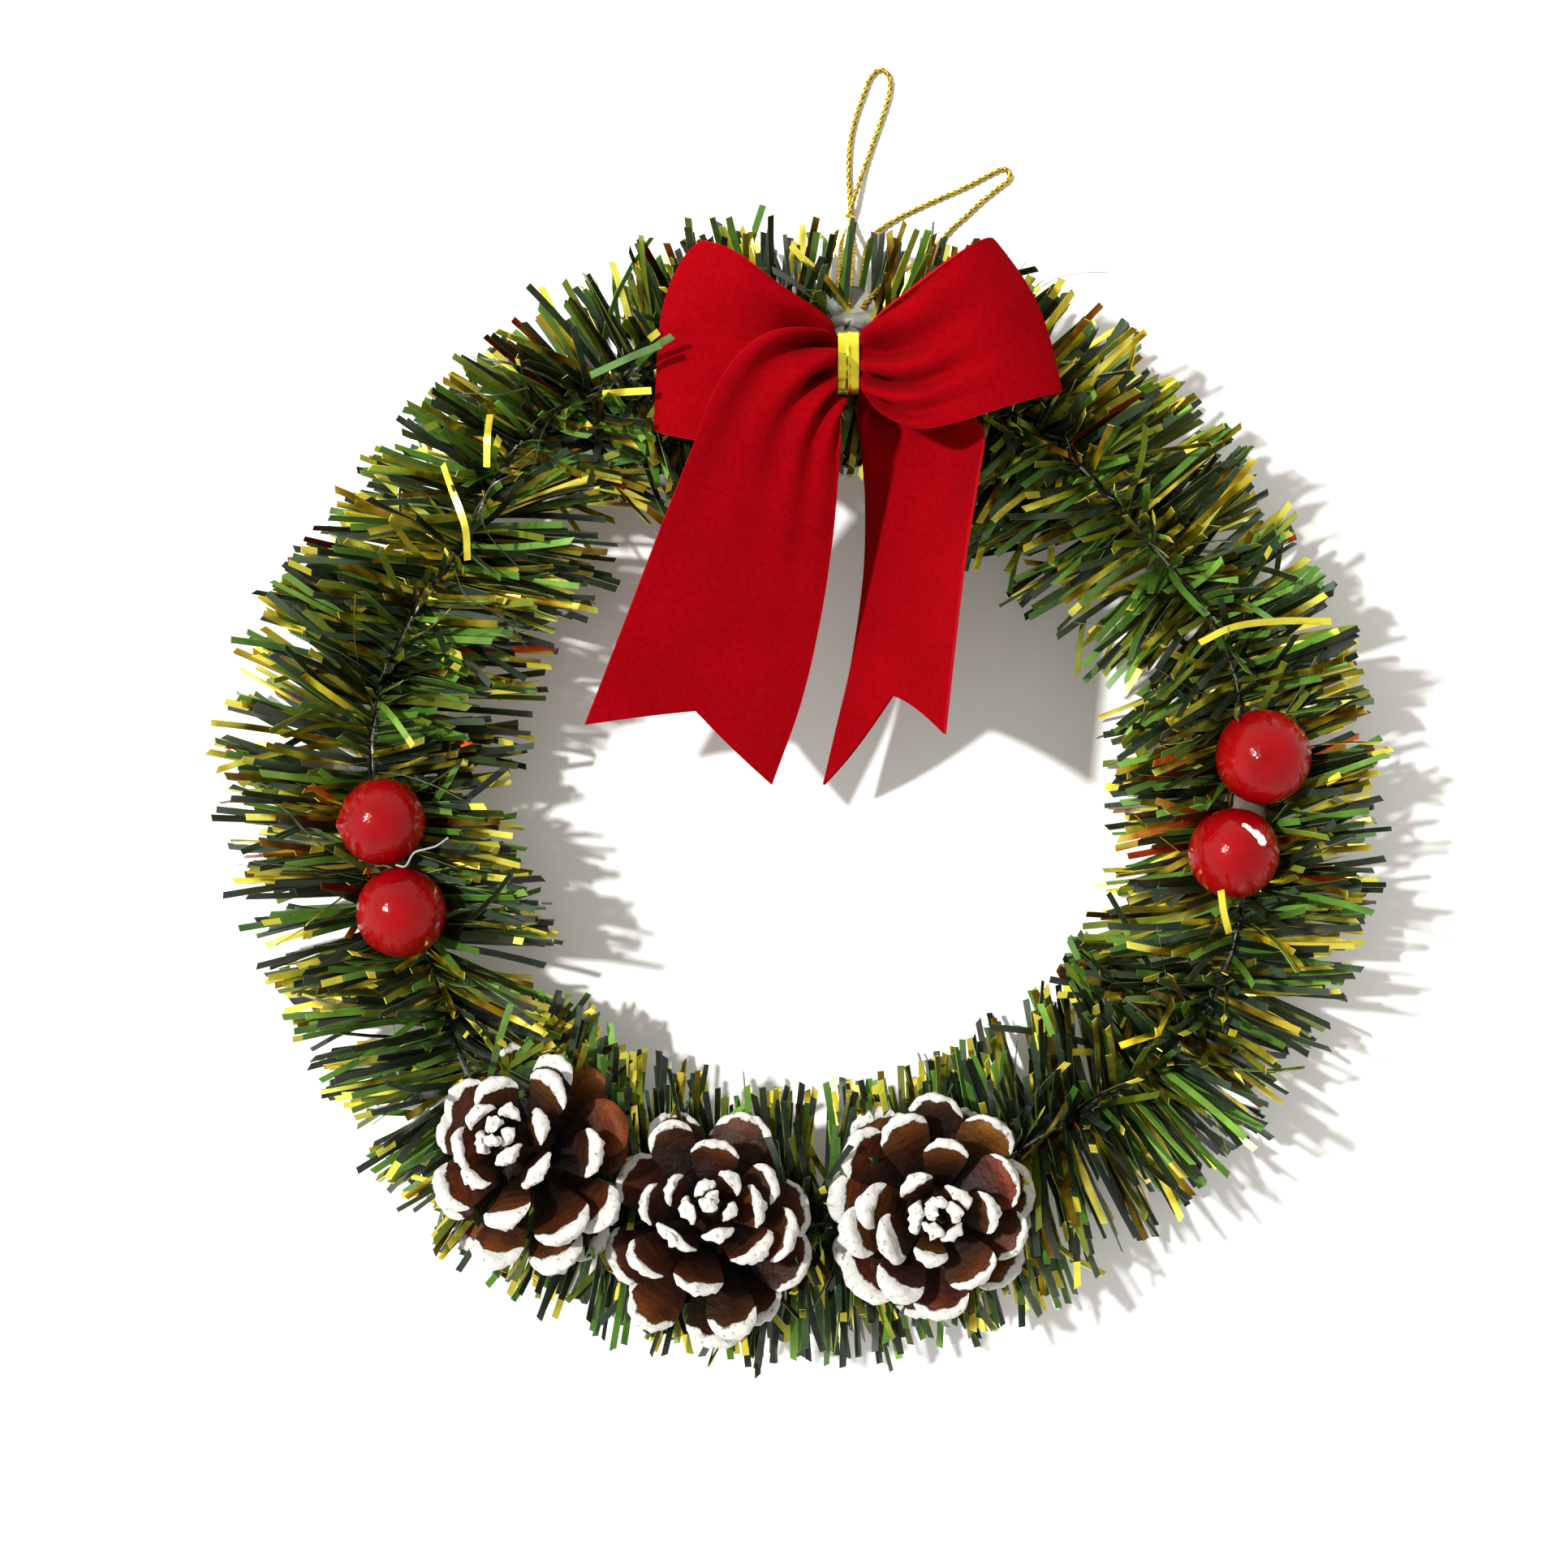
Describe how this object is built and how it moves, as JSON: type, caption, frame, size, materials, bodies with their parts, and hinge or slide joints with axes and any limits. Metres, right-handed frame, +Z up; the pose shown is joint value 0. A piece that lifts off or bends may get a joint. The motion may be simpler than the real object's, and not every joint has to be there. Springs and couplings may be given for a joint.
{
  "type": "door wreath",
  "caption": "Ring of green and gold tinsel strips on a twisted wire core, with a velvet bow, pine cones, red berries and cord loops to hang it by.",
  "frame": {"origin": "on the table, under the middle of the tinsel ring", "axes": "+Z up out of the wreath's face, +Y towards the bow and the hanging loops, +X to the wreath's right as seen from above"},
  "size_m": [0.223, 0.2529, 0.0551],
  "materials": {
    "core_steel": "plain drawn steel wire",
    "green_film": "satin plastic film, cut in narrow strips",
    "gold_foil": "metallised plastic film, mirror-like",
    "cone_wood": "dry woody scales with white paint on their tips",
    "berry_red": "glossy red lacquer",
    "red_velvet": "flocked velvet ribbon",
    "tie_gold": "gold foil over a thin wire",
    "cord_gold": "twisted metallic cord",
    "hot_glue": "frosted translucent hot-melt glue"
  },
  "bodies": {
    "root": {"core_wire_a": "core_steel", "core_wire_b": "core_steel", "green_tinsel_01": "green_film", "green_tinsel_02": "green_film", "green_tinsel_03": "green_film", "green_tinsel_04": "green_film", "green_tinsel_05": "green_film", "green_tinsel_06": "green_film", "green_tinsel_07": "green_film", "green_tinsel_08": "green_film", "green_tinsel_09": "green_film", "green_tinsel_10": "green_film", "green_tinsel_11": "green_film", "green_tinsel_12": "green_film", "green_tinsel_13": "green_film", "green_tinsel_14": "green_film", "green_tinsel_15": "green_film", "green_tinsel_16": "green_film", "gold_tinsel_01": "gold_foil", "gold_tinsel_02": "gold_foil", "gold_tinsel_03": "gold_foil", "gold_tinsel_04": "gold_foil", "gold_tinsel_05": "gold_foil", "gold_tinsel_06": "gold_foil", "gold_tinsel_07": "gold_foil", "gold_tinsel_08": "gold_foil", "gold_tinsel_09": "gold_foil", "gold_tinsel_10": "gold_foil", "gold_tinsel_11": "gold_foil", "gold_tinsel_12": "gold_foil", "gold_tinsel_13": "gold_foil", "gold_tinsel_14": "gold_foil", "gold_tinsel_15": "gold_foil", "gold_tinsel_16": "gold_foil", "glue_behind_bow": "hot_glue", "glue_left_berries": "hot_glue", "glue_right_berries": "hot_glue", "glue_left_cone": "hot_glue", "glue_middle_cone": "hot_glue", "glue_right_cone": "hot_glue", "pine_cone_left": "cone_wood", "pine_cone_middle": "cone_wood", "pine_cone_right": "cone_wood", "berry_left_upper": "berry_red", "berry_left_lower": "berry_red", "berry_right_upper": "berry_red", "berry_right_lower": "berry_red", "bow_ribbon": "red_velvet", "bow_twist_tie": "tie_gold", "hanging_loop_straight": "cord_gold", "hanging_loop_slanted": "cord_gold"}
  },
  "joints": []
}
